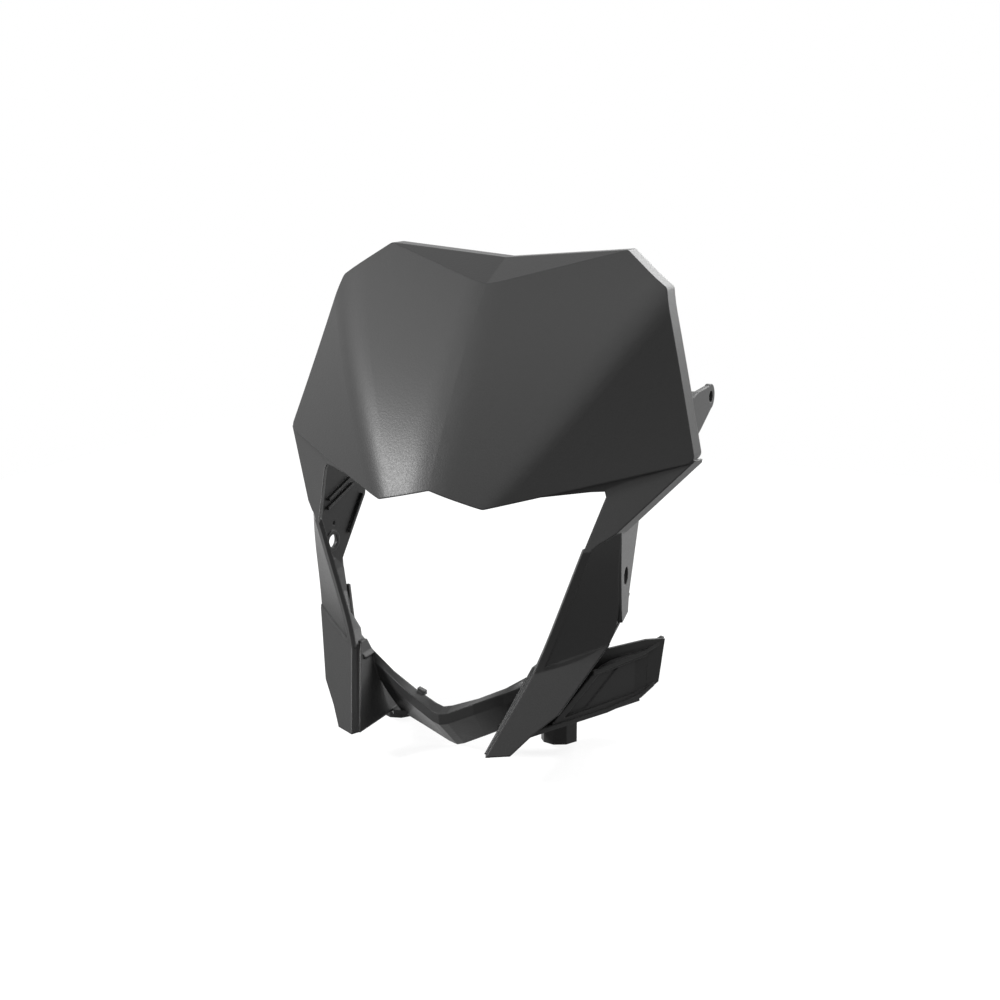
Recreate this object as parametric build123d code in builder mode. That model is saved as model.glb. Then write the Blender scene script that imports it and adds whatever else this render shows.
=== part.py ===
from build123d import *
from math import atan2, cos, degrees, sqrt, tan
import os

os.makedirs("parts", exist_ok=True)

# Headlight mask of an off-road motorcycle, moulded in one piece. Sizes in millimetres.
# X runs across the bike, the front looks along -Y, Z is up. The middle plane is X = 0.
# Points are laid out from the line between the two outer corners of the plate, and the
# finished mask is moved so that the middle of the two upper bores is the origin.

wall = 2.8               # moulded wall
half_width = 130.0       # middle plane to an outer corner of the plate
rim_depth = 13.0         # return rim behind the plate edge
rim_wall = 2.4           # thickness of that rim
weld = 0.6               # how far one wall reaches into the next
bulk = 500.0             # oversize of the blocks that are cut down to walls
spare = 10.0             # how far the body of the plate runs past its outline
hair = 0.01              # search margin round a corner

# Number plate, outline seen from the front
peak_x = 76.0            # top point of each half
peak_z = 112.5
shoulder_x = 103.5       # where the top corner is cut
shoulder_z = 93.0
notch_z = 106.0          # dip in the top edge on the middle plane
foot_x = 32.0            # lowest point of the plate on each side
foot_z = -22.0
arch_z = -14.0           # top of the arch over the lamp
peak_round = 9.0
shoulder_round = 16.0
corner_round = 4.0
foot_round = 7.0
arch_round = 14.0

# Number plate, side profile of its middle line and of its two side folds
middle_foot_y = -70.0    # middle line at arch_z
middle_head_y = 6.0      # middle line where the top facet starts
middle_head_z = 92.0
middle_bow = 5.0         # how far that line bulges forward of straight
fold_foot_y = -67.5      # side fold at foot_z
fold_head_y = 21.0       # side fold at shoulder_z
fold_bow = 5.0
side_slope = 0.645       # how fast the side facet falls back across X
side_twist = 0.0021      # and how much steeper it gets with height
middle_soft = 90.0       # rounding of the middle line
fold_soft = 60.0         # rounding of the side folds
fold_soft_share = 1.3    # but no more than this share of the fold's distance from the middle
notch_y = 34.0           # top facet at the notch

# Arm beside the lamp: wing facet, leg and blade. Right hand arm, points as X, Y, Z.
eye_top = (89.1, -27.0, -13.0)      # inner top corner of the wing facet
eye_round = 4.0
leg_top = (83.0, -47.2, -45.0)      # front edge of the leg where it leaves the wing
leg_low = (57.4, -56.1, -116.3)     # and where it meets the blade
wing_back = 1.2                     # wing facet behind the plate edge at the outer corner
wing_turn = (92.2, -39.8)           # lower edge of the wing seen from the front: bend near the leg
wing_low = (97.7, -35.6)            # and straight from here to the corner
wing_end = (129.8, 0.9)
flare = 1.5                         # how far the flange under that edge spreads out and down
step_tail = 57.0                    # inner end of the step between plate and wing
leg_z = (-30.0, -50.0, -70.0, -90.0, -103.0, -120.0)          # heights of the leg sections
leg_front_x = (88.3, 81.2, 74.1, 67.0, 62.3, 56.2)            # front edge at those heights
leg_front_y = (-46.8, -47.6, -49.0, -50.4, -52.0, -57.8)
leg_rear_x = (98.3, 98.0, 97.4, 96.0, 92.4, 83.2)             # rear edge
leg_rear_y = (-30.4, -29.4, -28.3, -27.4, -31.8, -43.8)
strip_width = 4.0                   # forward facing strip along the front edge
strip_fall = 0.58                   # how fast the strip falls back across X
pocket_depth = 0.6                  # recessed side face of the leg
pocket_foot = 2.4                   # plain border between that recess and the blade
blade_top = (92.3, -32.3, -102.3)   # upper outer corner of the blade
blade_tip = (42.0, -85.1, -156.6)   # foremost point of the blade
blade_end = (54.1, -156.0)          # outer point of its cut end, seen from the front
blade_bend = (62.3, -146.8)         # bends in its outer edge
blade_knee = (74.0, -136.2)
blade_shoulder = (86.3, -113.3)
lip_in = 2.9                        # slanted lip along its inner edge: towards the middle
lip_back = 6.4                      # and backwards
web_top = (-41.0, -122.0)           # rear edge of the inner wall, Y and Z
web_foot = (-31.5, -156.7)

# Side panel that carries the lamp, points as Y, Z
panel_x = 93.4           # middle of its wall at the knee
panel_turn = 0.143       # how much it closes in per millimetre further back
panel_knee = (-5.0, -77.6)
panel_rear = (18.3, -41.8)
panel_top = (23.0, -16.0)
panel_head = (25.0, 22.0)
panel_front = (-38.0, -40.5)
panel_low = (-22.0, -90.0)
panel_tail = (-7.0, -88.0)
rib_height = 2.6
rib_wall = 1.8
rib_low = ((-20.0, -43.5), (5.0, -32.5))
rib_high = ((-18.8, -38.0), (2.5, -28.5))
edge_bead = ((14.5, -40.5), (0.5, -62.5))    # bead along the rear edge
lamp_hole_y = -14.5      # bore for the lamp screw
lamp_hole_z = -64.8
lamp_hole_r = 4.0
lamp_sink_r = 5.2        # sunk face round it on the outside
lamp_sink_depth = 1.6
boss_r = 6.5             # raised ring round that bore
boss_rise = 0.6
dimple = (-13.0, -53.9)  # mark of the ejector pin
dimple_r = 1.2
dimple_depth = 0.8

# Lower corner of the lamp opening, its inner face seen from the front and from the side
bend_path = (
    (50.0, -121.6), (56.0, -116.2), (64.0, -110.4), (76.0, -105.2),
    (86.5, -96.2), (91.8, -83.0), (93.0, -76.0),
)
bend_rear = (
    (-3.4, -74.0), (-5.0, -84.0), (-10.0, -96.0), (-27.0, -106.8), (-39.0, -113.0), (-41.6, -119.0),
)
bend_front_y = -53.0

# Chin bar under the lamp, sections across X, points as Y, Z
chin_x = (0.0, 5.0, 20.0, 36.0, 52.0)
land_rear = ((-51.8, -144.4), (-50.8, -143.4), (-47.5, -138.1), (-44.5, -130.4), (-41.5, -120.0))
land_front = ((-58.6, -147.0), (-57.6, -146.0), (-55.0, -139.2), (-48.9, -132.4), (-43.5, -125.6))
crease = ((-57.6, -153.6), (-56.6, -152.6), (-53.6, -145.8), (-47.6, -139.2), (-42.8, -132.6))
chin_foot = ((-34.5, -174.0), (-35.2, -172.2), (-37.5, -164.1), (-41.2, -155.0), (-43.0, -146.0))
chin_end_high = (52.5, -126.0)       # slanted end of its front faces, X and Z
chin_end_low = (32.5, -157.0)
clip_x = -18.5                       # small catch behind the land, on one side only
clip_length = 4.5
clip_wall = 3.4
clip_top = (-136.9, -138.6)          # its top, which falls with the land

# Upper tab with the fixing bore
tab_x = 112.0
tab_y = 80.0             # bore axis, measured from the outer corners
tab_z = 24.0
tab_bore_r = 3.5
tab_end_r = 7.5
tab_wall = 3.0
tab_root_low = -3.0      # height of the tab where it leaves the plate
tab_root_high = 20.0
tab_bend_high = (57.0, 30.2)         # bends in its edges, Y and Z
tab_bend_low = (63.3, 7.7)
tab_heel = (44.0, -1.0)
tab_flange = 7.0                     # width of the stiffening edge along its top
tab_flange_wall = 2.6

# Side band: a cup that runs back from behind the blade. Points as the distance along its outer
# wall and the height.
band_front = (63.0, -58.0)           # plan point where the outer wall starts
band_turn = 56.9                     # its direction in plan, degrees from X
band_wall = 3.0
band_width = 16.0                    # between outer and inner wall at the front
band_tip = (86.0, -107.0)
band_crown = (70.5, -112.4)
band_brow = (50.0, -115.6)
band_neck = (35.0, -118.4)
band_throat = (37.0, -119.4)         # slanted front end of the outer wall
band_slit = (6.0, -146.6)
band_toe = (-6.0, -148.8)
band_sole = (45.0, -144.9)
band_heel = (69.0, -140.6)
band_calf = (78.5, -135.0)
band_back = (82.0, -131.0)
band_nose = (83.0, -108.0)           # end of the lip along the upper edge
lip_height = 2.6
lip_rise = 1.4
window = ((40.0, -121.6), (74.3, -116.6), (73.8, -134.8), (68.0, -137.2), (16.5, -142.6))
shade = ((40.2, -121.8), (54.7, -119.8), (32.4, -140.2), (17.2, -142.0))
window_depth = 1.5                   # recessed window in the outer wall
shade_depth = 0.7                    # deeper slanted part of that window
inner_wall = 2.1
inner_line = ((14.0, -122.0), (30.0, -113.5), (46.0, -109.8), (75.4, -106.8), (87.0, -107.5))
inner_foot = ((83.4, -133.0), (73.4, -140.0), (4.0, -148.2), (4.0, -138.0))
floor_wall = 2.4
floor_root = (-8.0, 19.2)            # where the floor meets the inner wall of the blade
floor_rise = 0.09                    # how fast the floor climbs to the rear

# Apron below the chin, plan points, and the bar of the hook, which leans out of the band, points as X, Y, Z
apron_line = ((44.5, -10.0), (48.0, -14.5), (54.0, -16.0), (60.0, -13.0), (63.5, -6.0))
apron_low = -171.5
apron_height = 17.0
# Ledge between chin and apron, plan points
shelf = ((29.0, -41.5), (37.0, -44.0), (60.0, -19.0), (65.0, -4.0), (44.0, -4.0))
shelf_low = -157.6
apron_wall = 2.4
hook_top = (88.8, -6.2, -94.0)
hook_base = (42.2195, -0.7362, -121.0)     # along the inner wall of the band, out of it, and height
hook_size = (3.2, 2.6)


def through(a, b, c):
    """Plane through three points; its normal leaves the side they run round."""
    first = Vector(*b) - Vector(*a)
    second = Vector(*c) - Vector(*a)
    return Plane(origin=a, x_dir=first, z_dir=first.cross(second))


def front(point):
    """A point as it is seen from the front."""
    return (point[0], point[2])


def spot(face, x, z):
    """Place on a flat face of the point that is seen at x, z from the front."""
    offset = face.z_dir.X * (x - face.origin.X) + face.z_dir.Z * (z - face.origin.Z)
    local = face.to_local_coords(Vector(x, face.origin.Y - offset / face.z_dir.Y, z))
    return (local.X, local.Y)


def sheet(outline, face, push):
    """Wall behind a flat face, cut to an outline seen from the front."""
    with BuildPart() as body:
        Box(bulk, bulk, bulk)
        split(bisect_by=face, keep=Keep.BOTTOM)
        add(body.part.moved(Location(push)), mode=Mode.SUBTRACT)
        with BuildSketch(Plane.XZ):
            with BuildLine():
                Polyline(*outline, close=True)
            make_face()
        extrude(amount=bulk, both=True, mode=Mode.INTERSECT)
    return body.part


def leg_block(near, far):
    """Block between two lines of the leg, each drawn at every height by its own rule."""
    with BuildPart() as body:
        for z, *ends in zip(leg_z, leg_front_x, leg_front_y, leg_rear_x, leg_rear_y):
            with BuildSketch(Plane.XY.offset(z)):
                with BuildLine():
                    Polyline(*near(*ends), *reversed(far(*ends)), close=True)
                make_face()
        loft()
    return body.part


def leg_line(x, y, rear_x, rear_y):
    """Front edge, end of the strip and rear edge at one height."""
    return [(x, y), (x + strip_width, y + strip_width * strip_fall), (rear_x, rear_y)]


def moved_line(line, dx, dy):
    return [(x + dx, y + dy) for x, y in line]


def along(low, high, bow, share):
    """Value between two ends that bulges off the straight line by bow in the middle."""
    return low + (high - low) * share - 4 * bow * share * (1 - share)


def middle_y(z):
    return along(middle_foot_y, middle_head_y, middle_bow, (z - arch_z) / (middle_head_z - arch_z))


def fold_y(z):
    return along(fold_foot_y, fold_head_y, fold_bow, (z - foot_z) / (shoulder_z - foot_z))


def fold_x(z):
    return along(foot_x, shoulder_x, 0, (z - foot_z) / (shoulder_z - foot_z))


def plate_y(x, z):
    """Front surface of the plate."""
    if x < fold_x(z):
        return middle_y(z) + (fold_y(z) - middle_y(z)) * x / fold_x(z)
    return fold_y(z) + (x - fold_x(z)) * (side_slope + side_twist * z)


def fold_room(z):
    """Largest rounding of the side fold that fits beside the rounding of the middle line."""
    inner = atan2(fold_y(z) - middle_y(z), fold_x(z))
    outer = atan2(side_slope + side_twist * z, 1)
    free = fold_x(z) / cos(inner) - middle_soft * tan(inner) - weld
    return free / tan((outer - inner) / 2)


def edge_z(x):
    """Lower edge of the plate between its foot and its outer corner."""
    return foot_z * (half_width - x) / (half_width - foot_x)


# Everything behind the front surface of the plate
section_low = foot_z - spare
section_high = peak_z + spare
plate_far = max(half_width, fold_x(section_high)) + 2 * spare
plate_back = half_width
section_count = 5
with BuildPart() as plate_mass:
    for i in range(section_count):
        z = section_low + (section_high - section_low) * i / (section_count - 1)
        side_soft = min(fold_soft, fold_soft_share * fold_x(z), fold_room(z))
        with BuildSketch(Plane.XY.offset(z)) as section:
            with BuildLine():
                Polyline(
                    (-plate_far, plate_back),
                    (-plate_far, plate_y(plate_far, z)),
                    (-fold_x(z), fold_y(z)),
                    (0, middle_y(z)),
                    (fold_x(z), fold_y(z)),
                    (plate_far, plate_y(plate_far, z)),
                    (plate_far, plate_back),
                    close=True,
                )
            make_face()
            folds = section.vertices().sort_by(Axis.Y)[:3]
            fillet(folds.sort_by(Axis.X)[1], middle_soft)
            folds = section.vertices().filter_by_position(Axis.X, fold_x(z) - hair, fold_x(z) + hair)
            fillet(folds, side_soft)
            folds = section.vertices().filter_by_position(Axis.X, -fold_x(z) - hair, hair - fold_x(z))
            fillet(folds, side_soft)
    loft()
    split(bisect_by=Plane.YZ, keep=Keep.TOP)
    top_facet = through(
        (0, middle_head_y, middle_head_z),
        (peak_x, plate_y(peak_x, peak_z), peak_z),
        (0, notch_y, notch_z),
    )
    split(bisect_by=top_facet, keep=Keep.BOTTOM)

# Outline of the plate, used for the wall and for the rim
with BuildSketch(Plane.XZ) as outline:
    with BuildLine():
        Polyline(
            (0, notch_z),
            (peak_x, peak_z),
            (shoulder_x, shoulder_z),
            (half_width, 0),
            (foot_x, foot_z),
            (0, arch_z),
            (-foot_x, foot_z),
            (-half_width, 0),
            (-shoulder_x, shoulder_z),
            (-peak_x, peak_z),
            close=True,
        )
    make_face()
    corners = outline.vertices()
    fillet(corners.filter_by_position(Axis.Z, peak_z - 1, peak_z + 1), peak_round)
    fillet(corners.filter_by_position(Axis.Z, shoulder_z - 1, shoulder_z + 1), shoulder_round)
    fillet(corners.filter_by_position(Axis.Z, -1, 1), corner_round)
    fillet(corners.filter_by_position(Axis.Z, foot_z - 1, foot_z + 1), foot_round)
    fillet(corners.filter_by_position(Axis.Z, arch_z - 1, arch_z + 1), arch_round)

plate_push = (0, 0.8 * wall, -0.6 * wall)
with BuildPart() as plate_skin:
    add(plate_mass.part)
    add(plate_mass.part.moved(Location(plate_push)), mode=Mode.SUBTRACT)
    extrude(outline.sketch, amount=bulk, both=True, mode=Mode.INTERSECT)

with BuildPart() as rim:
    add(plate_mass.part)
    add(plate_mass.part.moved(Location((0, rim_depth, 0))), mode=Mode.SUBTRACT)
    extrude(outline.sketch, amount=bulk, both=True, mode=Mode.INTERSECT)
    with BuildSketch(Plane.XZ):
        add(outline.sketch)
        offset(amount=-rim_wall)
    extrude(amount=bulk, both=True, mode=Mode.SUBTRACT)
    split(bisect_by=Plane.XY.offset(-wall), keep=Keep.TOP)

# Space in front of the plate, which no wall of the arm may enter
with BuildPart() as forecourt:
    extrude(outline.sketch, amount=bulk, both=True)
    split(bisect_by=Plane.YZ, keep=Keep.TOP)
    add(plate_mass.part, mode=Mode.SUBTRACT)
    split(bisect_by=Plane.XZ.offset(-plate_back / 2), keep=Keep.TOP)

# Wing facet between the outer corner of the plate and the leg
wing = through((half_width, wing_back, 0), eye_top, leg_top)
arm_push = (-0.6 * wall, 0.8 * wall, 0)
wing_skin = sheet(
    [
        front(leg_top),
        wing_turn,
        wing_low,
        wing_end,
        (half_width - weld, weld),
        (eye_top[0] - weld, edge_z(eye_top[0]) + wall),
        (eye_top[0] - eye_round, eye_top[2]),
        (eye_top[0] - 0.3 * eye_round, eye_top[2] - 0.3 * eye_round),
        (eye_top[0], eye_top[2] - eye_round),
    ],
    wing,
    arm_push,
)

# Flange that runs back from the lower edge of the wing
with BuildPart() as flange:
    with BuildSketch(wing):
        with BuildLine():
            Polyline(
                spot(wing, *wing_turn),
                spot(wing, *wing_low),
                spot(wing, *wing_end),
                spot(wing, wing_end[0] - rim_wall, wing_end[1] + weld),
                spot(wing, wing_low[0] - 0.7 * rim_wall, wing_low[1] + 0.7 * rim_wall),
                spot(wing, wing_turn[0] - 0.5 * rim_wall, wing_turn[1] + 0.8 * rim_wall),
                close=True,
            )
        make_face()
    extrude(amount=rim_depth, dir=(flare, rim_depth, -flare))
    split(bisect_by=Plane.YZ.offset(half_width), keep=Keep.BOTTOM)

# Step between the lower edge of the plate and the wing
step_x = eye_top[0]
step = through(
    (half_width, wall, 0),
    (step_x, plate_y(step_x, edge_z(step_x)) + 0.9 * wall, edge_z(step_x)),
    eye_top,
)
step_skin = sheet(
    [
        (half_width - wall, -weld),
        (half_width - wall, wall),
        (step_x, edge_z(step_x) + 0.5 * wall),
        (step_tail, edge_z(step_tail) + 0.5 * wall),
        (step_tail, edge_z(step_tail)),
        (eye_top[0] - 2 * eye_round, eye_top[2] - 0.5 * wall),
        (eye_top[0], eye_top[2] - 0.5 * wall),
    ],
    step,
    (-0.3 * wall, 0.9 * wall, 0.6 * wall),
)

# Leg with its recessed side face
with BuildPart() as leg:
    add(
        leg_block(
            lambda *ends: leg_line(*ends),
            lambda *ends: moved_line(leg_line(*ends), arm_push[0], arm_push[1]),
        )
    )
    with BuildSketch(Plane.XZ):
        with BuildLine():
            Polyline(
                (leg_low[0] - wall, leg_low[2] - weld),
                (blade_top[0] + wall, blade_top[2] - weld),
                (half_width, blade_top[2]),
                (half_width, wing_low[1] + wall),
                (wing_low[0] - wall, wing_low[1] - weld),
                (wing_turn[0], wing_turn[1] + weld),
                (leg_top[0] - wall, leg_top[2] + weld),
                close=True,
            )
        make_face()
    extrude(amount=bulk, both=True, mode=Mode.INTERSECT)
    split(bisect_by=wing, keep=Keep.BOTTOM)

pocket_share = pocket_depth / wall
with BuildPart() as pocket:
    add(
        leg_block(
            lambda *ends: moved_line(leg_line(*ends)[1:], -wall * arm_push[0], -wall * arm_push[1])
            + moved_line(leg_line(*ends)[2:], wall, wall),
            lambda *ends: moved_line(
                leg_line(*ends)[1:], pocket_share * arm_push[0], pocket_share * arm_push[1]
            ),
        )
    )
    with BuildSketch(Plane.XZ):
        with BuildLine():
            Polyline(
                (leg_low[0], leg_low[2] + pocket_foot),
                (blade_top[0] + wall, blade_top[2] + pocket_foot),
                (half_width, blade_top[2] + pocket_foot),
                (half_width, 0),
                (leg_low[0], 0),
                close=True,
            )
        make_face()
    extrude(amount=bulk, both=True, mode=Mode.INTERSECT)

# Space in front of the leg, which the panel and the bend may not enter
before_leg = leg_block(
    lambda x, y, rear_x, rear_y: [
        (x - rim_depth, -bulk),
        (x, -bulk),
        (x + wall, -bulk),
        (rear_x, -bulk),
        (rear_x + wall, -bulk),
    ],
    lambda x, y, rear_x, rear_y: moved_line(
        [(x - rim_depth, y), *leg_line(x, y, rear_x, rear_y), (rear_x + wall, rear_y + wall)], 0, 0.8 * wall
    ),
)

# Blade below the leg, with a slanted lip and an inner wall along its inner edge
blade = through(leg_low, blade_tip, blade_top)
blade_skin = sheet(
    [
        (leg_low[0], leg_low[2] + weld),
        front(leg_low),
        front(blade_tip),
        blade_end,
        blade_bend,
        blade_knee,
        blade_shoulder,
        front(blade_top),
        (blade_top[0], blade_top[2] + weld),
    ],
    blade,
    arm_push,
)
with BuildPart() as blade_lip:
    with BuildSketch(blade):
        with BuildLine():
            Polyline(
                spot(blade, *front(leg_low)),
                spot(blade, *front(blade_tip)),
                spot(blade, blade_tip[0] + 0.8 * wall, blade_tip[2]),
                spot(blade, leg_low[0] + 0.8 * wall, leg_low[2]),
                close=True,
            )
        make_face()
    extrude(amount=sqrt(lip_in**2 + lip_back**2), dir=(-lip_in, lip_back, 0))
with BuildPart() as web:
    with BuildSketch(Plane.XZ):
        with BuildLine():
            Polyline(
                (leg_low[0] - lip_in, leg_low[2] + wall),
                (leg_low[0] - lip_in + wall, leg_low[2] + wall),
                (blade_tip[0] - lip_in + wall, blade_tip[2]),
                (blade_tip[0] - lip_in, blade_tip[2]),
                close=True,
            )
        make_face()
    extrude(amount=bulk, both=True)
    add(
        sheet([(-bulk, -bulk), (bulk, -bulk), (bulk, bulk), (-bulk, bulk)], blade, (0, bulk, 0)).moved(
            Location((0, lip_back - weld, 0))
        ),
        mode=Mode.INTERSECT,
    )
    web_end = through((0, *web_foot), (1, *web_foot), (0, *web_top))
    split(bisect_by=web_end, keep=Keep.BOTTOM if web_end.z_dir.Y > 0 else Keep.TOP)

# Side panel with the lamp bore, its ribs and the bead along the rear edge
panel_run = sqrt(1 + panel_turn**2)


def side(point):
    """Place on the panel of a point given as Y, Z."""
    return ((point[0] - panel_knee[0]) * panel_run, point[1])


panel_plane = Plane(
    origin=(panel_x, panel_knee[0], 0), x_dir=(-panel_turn, 1, 0), z_dir=(1, panel_turn, 0)
).offset(wall / 2)
with BuildPart() as panel:
    with BuildSketch(panel_plane):
        with BuildLine():
            Polyline(
                side(panel_tail),
                side(panel_low),
                side(panel_front),
                side((panel_front[0], 0)),
                side((plate_y(panel_x, 0) + 0.5 * wall, 0)),
                side((plate_y(panel_x, panel_head[1]) + 0.5 * wall, panel_head[1])),
                side(panel_head),
                side(panel_top),
                side(panel_rear),
                side(panel_knee),
                close=True,
            )
        make_face()
    extrude(amount=-wall)
    with BuildSketch(panel_plane):
        with Locations(side((lamp_hole_y, lamp_hole_z))):
            Circle(boss_r)
    extrude(amount=-wall - boss_rise)
    for start, end in (rib_low, rib_high, edge_bead):
        run = Vector(*side(end)) - Vector(*side(start))
        tilt = degrees(atan2(run.Y, run.X))
        with BuildSketch(panel_plane.offset(weld - wall)):
            with Locations((Vector(*side(start)) + Vector(*side(end))) * 0.5):
                Rectangle(run.length, rib_wall, rotation=tilt)
        extrude(amount=-rib_height)
    with BuildSketch(panel_plane.offset(-wall)):
        with Locations(side(dimple)):
            Circle(dimple_r)
    extrude(amount=dimple_depth, mode=Mode.SUBTRACT)
    split(bisect_by=wing.offset(-weld), keep=Keep.BOTTOM)
    add(before_leg, mode=Mode.SUBTRACT)

# Lower corner of the lamp opening, between side panel and chin bar
with BuildPart() as bend:
    with BuildSketch(Plane.XZ):
        with BuildLine():
            Polyline(
                *bend_path,
                *[(x + 0.7 * wall, z - 0.7 * wall) for x, z in reversed(bend_path)],
                close=True,
            )
        make_face()
    extrude(amount=bulk, both=True)
    with BuildSketch(Plane.YZ):
        with BuildLine():
            Polyline(
                (bend_front_y, bend_rear[0][1]),
                *bend_rear,
                (bend_rear[-1][0], bend_rear[-1][1] - 2 * wall),
                (bend_front_y, bend_rear[-1][1] - 2 * wall),
                close=True,
            )
        make_face()
    extrude(amount=bulk, both=True, mode=Mode.INTERSECT)
    add(before_leg, mode=Mode.SUBTRACT)

# Chin bar, ruled from section to section, its front faces cut off on a slant
with BuildPart() as chin:
    for x, a, b, c, d in zip(chin_x, land_rear, land_front, crease, chin_foot):
        with BuildSketch(Plane.YZ.offset(x)):
            with BuildLine():
                Polyline(
                    a,
                    b,
                    c,
                    d,
                    (d[0] + 0.6 * wall, d[1] + 0.8 * wall),
                    (c[0] + wall, c[1] + 0.4 * wall),
                    (b[0] + wall, b[1] - wall),
                    (a[0], a[1] - wall),
                    close=True,
                )
            make_face()
    loft(ruled=True)
    with BuildSketch(Plane.XZ):
        with BuildLine():
            Polyline(
                chin_end_high,
                chin_end_low,
                (chin_end_low[0], -bulk),
                (bulk, -bulk),
                (bulk, chin_end_high[1]),
                close=True,
            )
        make_face()
    extrude(amount=bulk, both=True, mode=Mode.SUBTRACT)

with BuildPart() as clip:
    with BuildSketch(Plane.XZ.offset(wall / 2 - land_rear[2][0])):
        with BuildLine():
            Polyline(
                (clip_x, land_rear[2][1] - wall),
                (clip_x, clip_top[0]),
                (clip_x + clip_length, clip_top[1]),
                (clip_x + clip_length, land_rear[2][1] - wall),
                close=True,
            )
        make_face()
    extrude(amount=-clip_wall)

# Upper tab, parallel to the middle plane, with a stiffening edge along its top
root_low_y = plate_y(tab_x, tab_root_low) + 0.5 * wall
root_high_y = plate_y(tab_x, tab_root_high) + 0.5 * wall
with BuildPart() as tab:
    with BuildSketch(Plane.YZ.offset(tab_x - tab_wall / 2)):
        with BuildLine():
            Polyline(
                (root_low_y, tab_root_low),
                (root_high_y, tab_root_high),
                tab_bend_high,
                (tab_y - 0.43 * tab_end_r, tab_z + 0.9 * tab_end_r),
                (tab_y, tab_z),
                (tab_y + 0.66 * tab_end_r, tab_z - 0.75 * tab_end_r),
                tab_bend_low,
                tab_heel,
                close=True,
            )
        make_face()
        with Locations((tab_y, tab_z)):
            Circle(tab_end_r)
    extrude(amount=tab_wall)
    with BuildSketch(Plane.YZ.offset(tab_x - tab_wall / 2)):
        with BuildLine():
            Polyline(
                (root_high_y, tab_root_high),
                tab_bend_high,
                (tab_bend_high[0], tab_bend_high[1] - tab_flange_wall),
                (root_high_y, tab_root_high - tab_flange_wall),
                close=True,
            )
        make_face()
    extrude(amount=-tab_flange)
    with Locations(Plane(origin=(tab_x, tab_y, tab_z), x_dir=(0, 1, 0), z_dir=(1, 0, 0))):
        Cylinder(tab_bore_r, 4 * tab_wall, mode=Mode.SUBTRACT)

# Side band
band_dir = Vector(1, 0, 0).rotate(Axis.Z, band_turn)
band_out = Vector(band_dir.Y, -band_dir.X, 0)
band_start = Vector(*band_front)
band_plane = Plane(origin=band_start, x_dir=band_dir, z_dir=band_out)
band_crest = (band_neck, band_brow, band_crown, band_tip)
band_base = (band_toe, band_sole, band_heel, band_calf)
inner_start = band_start - band_out * band_width
inner_dir = band_dir * band_tip[0] + band_out * band_width
with BuildPart() as band:
    with BuildSketch(band_plane):
        with BuildLine():
            Polyline(*band_base, band_back, *reversed(band_crest[1:]), band_throat, band_slit, close=True)
        make_face()
    extrude(amount=-band_wall)
    for edge, drop in (((*band_crest[:-1], band_nose), -lip_height), (band_base, lip_height)):
        with BuildSketch(band_plane.offset(-weld)):
            with BuildLine():
                Polyline(*edge, *[(s, z + drop) for s, z in reversed(edge)], close=True)
            make_face()
        extrude(amount=lip_rise + weld)
    with BuildSketch(band_plane):
        with BuildLine():
            Polyline(*window, close=True)
        make_face()
    extrude(amount=-window_depth, mode=Mode.SUBTRACT)
    with BuildSketch(band_plane.offset(-window_depth)):
        with BuildLine():
            Polyline(*shade, close=True)
        make_face()
    extrude(amount=-shade_depth, mode=Mode.SUBTRACT)
    with BuildSketch(Plane(origin=inner_start, x_dir=inner_dir, z_dir=inner_dir.cross(Vector(0, 0, 1)))):
        with BuildLine():
            Polyline(*inner_line, *inner_foot, close=True)
        make_face()
    extrude(amount=inner_wall)
    floor_plane = Plane(
        origin=(*band_front, band_toe[1]),
        x_dir=(band_dir.X, band_dir.Y, floor_rise),
        z_dir=(-floor_rise * band_dir.X, -floor_rise * band_dir.Y, 1),
    )
    with BuildSketch(floor_plane):
        with BuildLine():
            Polyline(
                (-0.8 * band_width, -weld),
                (band_heel[0], -weld),
                (band_heel[0], 0.25 * band_width),
                (0, band_width),
                floor_root,
                close=True,
            )
        make_face()
    extrude(amount=floor_wall)
    split(bisect_by=blade.offset(-weld), keep=Keep.BOTTOM)

# Apron below the chin
with BuildPart() as apron:
    with BuildSketch(Plane.XY.offset(apron_low)):
        with BuildLine():
            Polyline(*apron_line)
        trace(line_width=apron_wall)
    extrude(amount=apron_height)
    with BuildSketch(Plane.XY.offset(shelf_low)):
        with BuildLine():
            Polyline(*shelf, close=True)
        make_face()
    extrude(amount=floor_wall)

# Bar of the hook, from the inner wall of the band up to the rear edge of the leg
hook_plane = Plane(origin=inner_start, x_dir=inner_dir, z_dir=inner_dir.cross(Vector(0, 0, 1)))
hook_foot = hook_plane.from_local_coords(Vector(hook_base[0], hook_base[2], hook_base[1]))
hook_run = Vector(*hook_top) - hook_foot
with BuildPart() as hook:
    with BuildSketch(Plane(origin=hook_foot, x_dir=(1, 0, 0), z_dir=hook_run)):
        Rectangle(*hook_size)
    extrude(amount=hook_run.length)

with BuildPart() as mask:
    add(leg.part)
    add(pocket.part, mode=Mode.SUBTRACT)
    add(wing_skin)
    add(flange.part)
    add(step_skin)
    add(panel.part)
    add(tab.part)
    add(forecourt.part, mode=Mode.SUBTRACT)
    add(plate_skin.part)
    add(rim.part)
    with BuildSketch(panel_plane):
        with Locations(side((lamp_hole_y, lamp_hole_z))):
            Circle(lamp_hole_r)
    extrude(amount=3 * wall, both=True, mode=Mode.SUBTRACT)
    with BuildSketch(panel_plane):
        with Locations(side((lamp_hole_y, lamp_hole_z))):
            Circle(lamp_sink_r)
    extrude(amount=-lamp_sink_depth, mode=Mode.SUBTRACT)
    add(blade_skin)
    add(blade_lip.part)
    add(web.part)
    add(bend.part)
    add(chin.part)
    add(band.part)
    add(apron.part)
    add(hook.part)
    mirror(about=Plane.YZ)
    add(clip.part)

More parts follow.
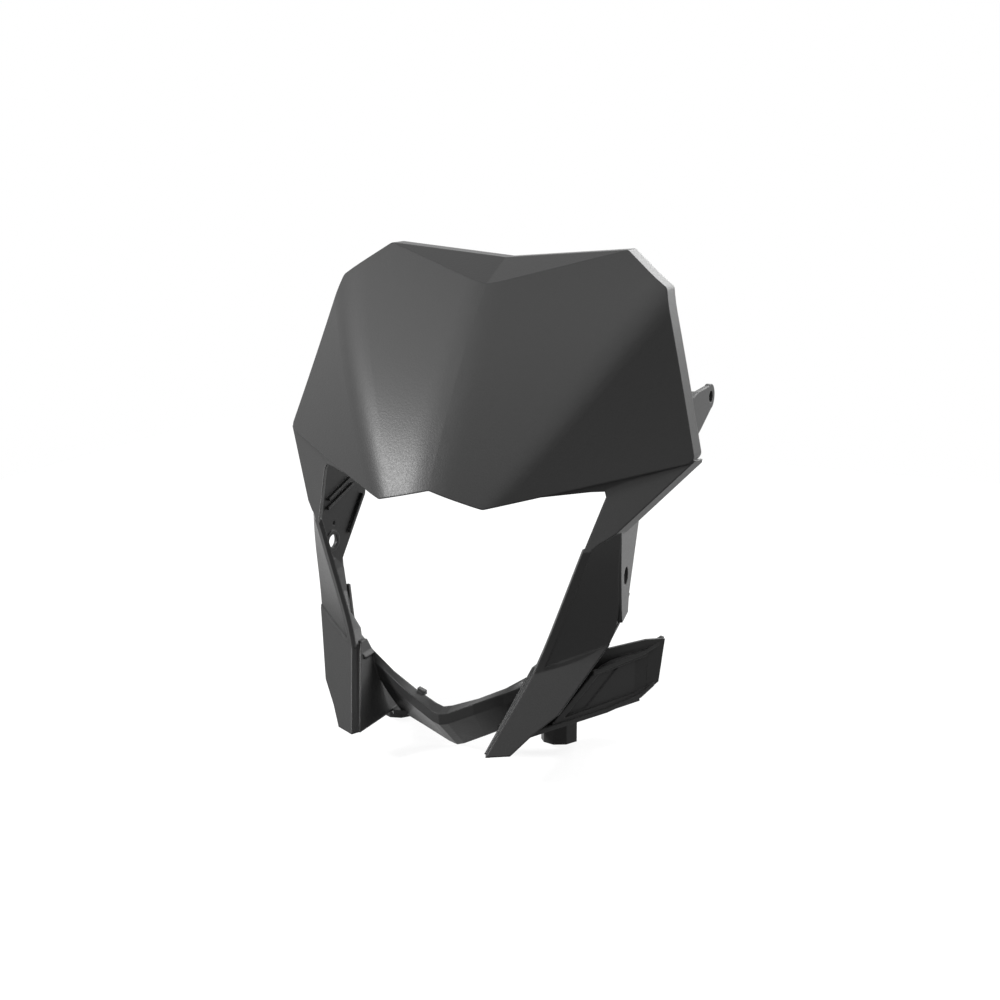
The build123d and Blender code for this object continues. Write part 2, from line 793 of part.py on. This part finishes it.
mask.part = mask.part.moved(Location((0, -tab_y, -tab_z)))
mask.part.label = "headlight_mask"
export_step(mask.part, "parts/headlight_mask.step")
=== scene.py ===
import math

import bpy
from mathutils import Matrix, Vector


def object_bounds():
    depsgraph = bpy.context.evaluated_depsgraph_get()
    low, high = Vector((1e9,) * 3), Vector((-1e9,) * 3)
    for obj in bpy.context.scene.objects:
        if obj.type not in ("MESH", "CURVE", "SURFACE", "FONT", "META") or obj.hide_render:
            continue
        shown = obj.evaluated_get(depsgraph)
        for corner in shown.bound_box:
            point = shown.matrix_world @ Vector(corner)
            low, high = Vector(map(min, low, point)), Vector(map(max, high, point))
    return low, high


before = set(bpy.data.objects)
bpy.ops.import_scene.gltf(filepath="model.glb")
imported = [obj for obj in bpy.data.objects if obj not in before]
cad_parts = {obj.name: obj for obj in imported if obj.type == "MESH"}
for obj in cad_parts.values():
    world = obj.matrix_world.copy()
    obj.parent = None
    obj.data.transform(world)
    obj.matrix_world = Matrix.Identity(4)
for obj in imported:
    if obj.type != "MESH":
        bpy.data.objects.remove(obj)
cad_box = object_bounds()

MM = 0.001

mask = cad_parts["headlight_mask"]
middle = (Vector(cad_box[0]) + Vector(cad_box[1])) / 2

# Black polypropylene
PLASTIC_COLOUR = "#2C2C2C"
PLASTIC_IOR = 1.49
PLASTIC_SHINE = 0.12            # specular level: the tool's satin takes most of the gloss away
SMOOTHEST, ROUGHEST = 0.28, 0.42
EDGE_RADIUS = 1.3 * MM
FLECK_SIZE = 1.1 * MM           # the real flecks are finer and wouldn't show in the picture
FLECK_DEPTH = 0.1 * MM

# Softboxes, all aimed at the middle of the mask: place from there and size in metres, watts
SOFTBOXES = (
    ("key_softbox", (-0.80, -0.62, 0.53), (0.22, 0.22), 19),
    ("left_softbox", (-0.78, -0.38, 0.80), (0.8, 0.8), 7),
    ("top_softbox", (0.2, -0.3, 1.15), (0.8, 0.6), 4.5),
    ("right_softbox", (0.95, 0.7, 0.24), (0.6, 0.6), 9),
    ("rear_softbox", (0.25, 1.1, 0.65), (1.0, 1.0), 14),
    ("front_softbox", (0.4, -0.9, 0.8), (0.8, 0.8), 5),
)

# White paper floor and the white room
FLOOR_SIZE = 1.5
FLOOR_GAP = 0.2 * MM            # below the lowest point of the mask
PAPER_COLOUR = "#767676"
PAPER_GLOW = "#ECECEC"
WALL_COLOUR = "#FFFFFF"
ROOM_LIGHT = 0.12               # what the walls throw on the mask
WALL_BRIGHTNESS = 1.0           # what the eye and the gloss see of them

# The photograph was taken from the front right, a little above the mask. The place is in metres
# from the middle of the two upper bores.
CAMERA_PLACE = Vector((0.3916, -0.9097, 0.1554))
CAMERA_AZIMUTH = math.radians(24.59)
CAMERA_ELEVATION = math.radians(13.06)
SENSOR_WIDTH = 36.0
FOCAL_SHARE = 1.6               # focal length over the width of the picture


def linear(hex_colour):
    """sRGB hex value as linear RGBA."""
    channels = [int(hex_colour[i:i + 2], 16) / 255 for i in (1, 3, 5)]
    return [c / 12.92 if c <= 0.04045 else ((c + 0.055) / 1.055) ** 2.4 for c in channels] + [1.0]


def node(tree, kind, links=None, **settings):
    """Adds a node, sets its properties or input values, and links its inputs."""
    made = tree.nodes.new(kind)
    for name, value in settings.items():
        if hasattr(made, name):
            setattr(made, name, value)
        else:
            made.inputs[name.replace("_", " ")].default_value = value
    for socket, source in (links or {}).items():
        tree.links.new(source, made.inputs[socket])
    return made


def new_material(name):
    material = bpy.data.materials.new(name)
    material.use_nodes = True
    material.node_tree.nodes.clear()
    return material, material.node_tree


def seen_directly(tree):
    """One for rays that look straight, in a reflection or through glass; nothing for the rest."""
    ray = node(tree, "ShaderNodeLightPath").outputs
    straight_or_gloss = node(
        tree,
        "ShaderNodeMath",
        {0: ray["Is Camera Ray"], 1: ray["Is Glossy Ray"]},
        operation="ADD",
    )
    or_through = node(
        tree,
        "ShaderNodeMath",
        {0: straight_or_gloss.outputs[0], 1: ray["Is Transmission Ray"]},
        operation="ADD",
        use_clamp=True,
    )
    return or_through.outputs[0]


def moulded_polypropylene():
    """Black polypropylene, injection moulded in a satin tool: a broad soft shine, edges rounded by
    the tool, and tiny flecks in the skin that glint one by one around the highlight."""
    material, tree = new_material("moulded_polypropylene")
    place = node(tree, "ShaderNodeTexCoord").outputs["Object"]
    edges = node(tree, "ShaderNodeBevel", Radius=EDGE_RADIUS, samples=6)
    flecks = node(tree, "ShaderNodeTexNoise", {"Vector": place}, Scale=1 / FLECK_SIZE, Detail=1.0)
    bump = node(
        tree,
        "ShaderNodeBump",
        {"Height": flecks.outputs["Fac"], "Normal": edges.outputs["Normal"]},
        Strength=0.5,
        Distance=FLECK_DEPTH,
    )
    satin = node(
        tree,
        "ShaderNodeMapRange",
        {"Value": flecks.outputs["Fac"]},
        To_Min=SMOOTHEST,
        To_Max=ROUGHEST,
    )
    plastic = node(
        tree,
        "ShaderNodeBsdfPrincipled",
        {"Roughness": satin.outputs["Result"], "Normal": bump.outputs["Normal"]},
        Base_Color=linear(PLASTIC_COLOUR),
        IOR=PLASTIC_IOR,
        Specular_IOR_Level=PLASTIC_SHINE,
    )
    node(tree, "ShaderNodeOutputMaterial", {"Surface": plastic.outputs["BSDF"]})
    return material


def white_paper():
    """Matt white paper: the eye sees its own even white, and the shadow of the mask on it."""
    material, tree = new_material("white_paper")
    paper = node(tree, "ShaderNodeBsdfDiffuse", Color=linear(PAPER_COLOUR))
    glow = node(
        tree, "ShaderNodeEmission", {"Strength": seen_directly(tree)}, Color=linear(PAPER_GLOW)
    )
    lit = node(
        tree, "ShaderNodeAddShader", {0: paper.outputs["BSDF"], 1: glow.outputs["Emission"]}
    )
    node(tree, "ShaderNodeOutputMaterial", {"Surface": lit.outputs["Shader"]})
    return material


def softbox(name, offset, size, power):
    lamp = bpy.data.lights.new(name, "AREA")
    lamp.shape = "RECTANGLE"
    lamp.size, lamp.size_y = size
    lamp.energy = power
    light = bpy.data.objects.new(name, lamp)
    light.location = middle + Vector(offset)
    light.rotation_euler = (middle - light.location).to_track_quat("-Z", "Y").to_euler()
    bpy.context.scene.collection.objects.link(light)


def white_room():
    """Walls that look white, straight or in the gloss, and throw little light on the mask."""
    world = bpy.data.worlds.new("studio")
    world.use_nodes = True
    tree = world.node_tree
    tree.nodes.clear()
    white = linear(WALL_COLOUR)
    dim = node(tree, "ShaderNodeBackground", Color=white, Strength=ROOM_LIGHT)
    bright = node(tree, "ShaderNodeBackground", Color=white, Strength=WALL_BRIGHTNESS)
    walls = node(
        tree,
        "ShaderNodeMixShader",
        {0: seen_directly(tree), 1: dim.outputs["Background"], 2: bright.outputs["Background"]},
    )
    node(tree, "ShaderNodeOutputWorld", {"Surface": walls.outputs["Shader"]})
    return world


mask.data.materials.clear()
mask.data.materials.append(moulded_polypropylene())

bpy.ops.mesh.primitive_plane_add(size=FLOOR_SIZE, location=(0, 0, cad_box[0][2] - FLOOR_GAP))
floor = bpy.context.object
floor.name = "floor"
floor.data.materials.append(white_paper())

for name, offset, size, power in SOFTBOXES:
    softbox(name, offset, size, power)
bpy.context.scene.world = white_room()

camera_data = bpy.data.cameras.new("photo_camera")
camera_data.sensor_width = SENSOR_WIDTH
camera_data.lens = SENSOR_WIDTH * FOCAL_SHARE
camera = bpy.data.objects.new("photo_camera", camera_data)
camera.location = CAMERA_PLACE
camera.rotation_euler = (math.pi / 2 - CAMERA_ELEVATION, 0, CAMERA_AZIMUTH)
bpy.context.scene.collection.objects.link(camera)
bpy.context.scene.camera = camera
bpy.context.scene.view_settings.view_transform = "Standard"
